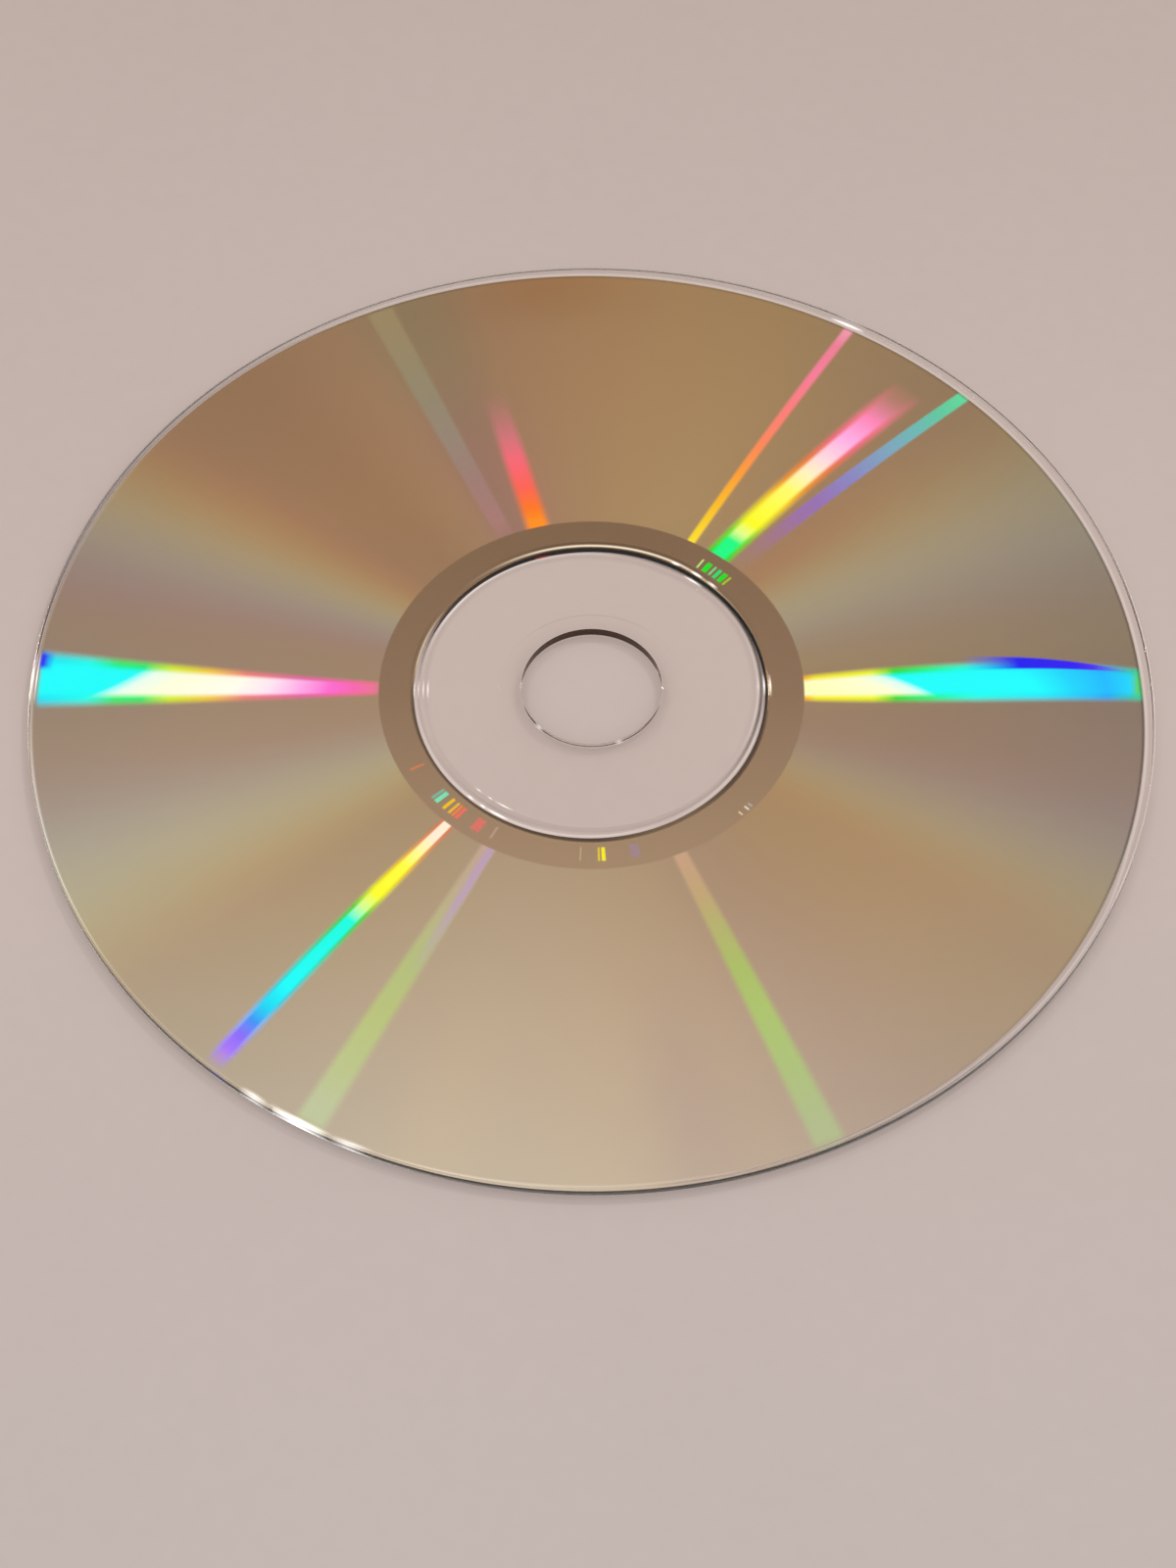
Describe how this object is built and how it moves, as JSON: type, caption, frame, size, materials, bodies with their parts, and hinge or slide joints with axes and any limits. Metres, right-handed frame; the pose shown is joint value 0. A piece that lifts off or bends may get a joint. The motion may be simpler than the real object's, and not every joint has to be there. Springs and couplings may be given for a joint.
{
  "type": "compact disc",
  "caption": "Flat round optical disc, data side up, with a central hole, a clear hub, a mirror-bright data area and a clear rim.",
  "frame": {"origin": "on the disc's axis, in the plane that it lies on", "axes": "+Z along the axis, out of the data side; +X is the side where the clear rim is widest"},
  "size_m": [0.12, 0.12, 0.0012],
  "materials": {
    "clear_polycarbonate": "clear, polished",
    "mirror_metal": "mirror, with a fine spiral track that splits light into colours"
  },
  "bodies": {
    "root": {"clear_disc": "clear_polycarbonate", "reflective_layer": "mirror_metal"}
  },
  "joints": []
}
